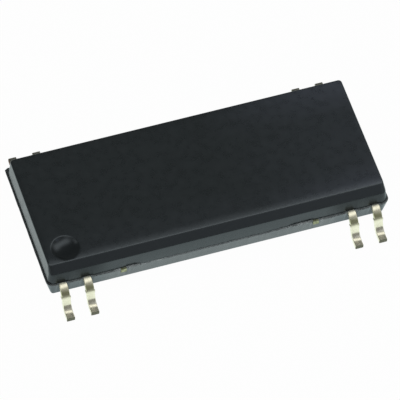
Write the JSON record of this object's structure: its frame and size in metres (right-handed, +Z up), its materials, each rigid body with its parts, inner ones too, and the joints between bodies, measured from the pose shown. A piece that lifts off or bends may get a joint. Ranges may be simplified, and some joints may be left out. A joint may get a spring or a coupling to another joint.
{
  "type": "surface-mount mosfet package",
  "caption": "Long flat black moulded semiconductor package with pairs of bent gull-wing leads at its corners, a bevelled front edge and a round index dimple; soldered to a circuit board.",
  "frame": {"origin": "centre of the footprint on the seating plane, under the middle of the body", "axes": "+X along the body, away from the end with the index dimple; -Y towards the bevelled side; +Z up from the board"},
  "size_m": [0.018, 0.0104, 0.0024],
  "materials": {
    "mould_compound": "fine matt moulded epoxy",
    "plated_lead": "bright plating with a warm tint",
    "frame_copper": "rolled copper alloy with sheared ends",
    "die_solder": "dull solder",
    "silicon": "polished silicon with a metal top",
    "bond_wire": "drawn gold wire"
  },
  "bodies": {
    "root": {"moulded_body": "mould_compound", "lead_front_left_outer": "plated_lead", "lead_front_left_inner": "plated_lead", "lead_front_right_outer": "plated_lead", "lead_front_right_inner": "plated_lead", "lead_rear_left_outer": "plated_lead", "lead_rear_left_inner": "plated_lead", "lead_rear_right_outer": "plated_lead", "lead_rear_right_inner": "plated_lead", "die_pad_left": "frame_copper", "die_bond_left": "die_solder", "chip_left": "silicon", "gate_wire_left": "bond_wire", "source_wire_left": "bond_wire", "drain_wire_outer_left": "bond_wire", "drain_wire_inner_left": "bond_wire", "die_pad_right": "frame_copper", "die_bond_right": "die_solder", "chip_right": "silicon", "gate_wire_right": "bond_wire", "source_wire_right": "bond_wire", "drain_wire_outer_right": "bond_wire", "drain_wire_inner_right": "bond_wire"}
  },
  "joints": []
}
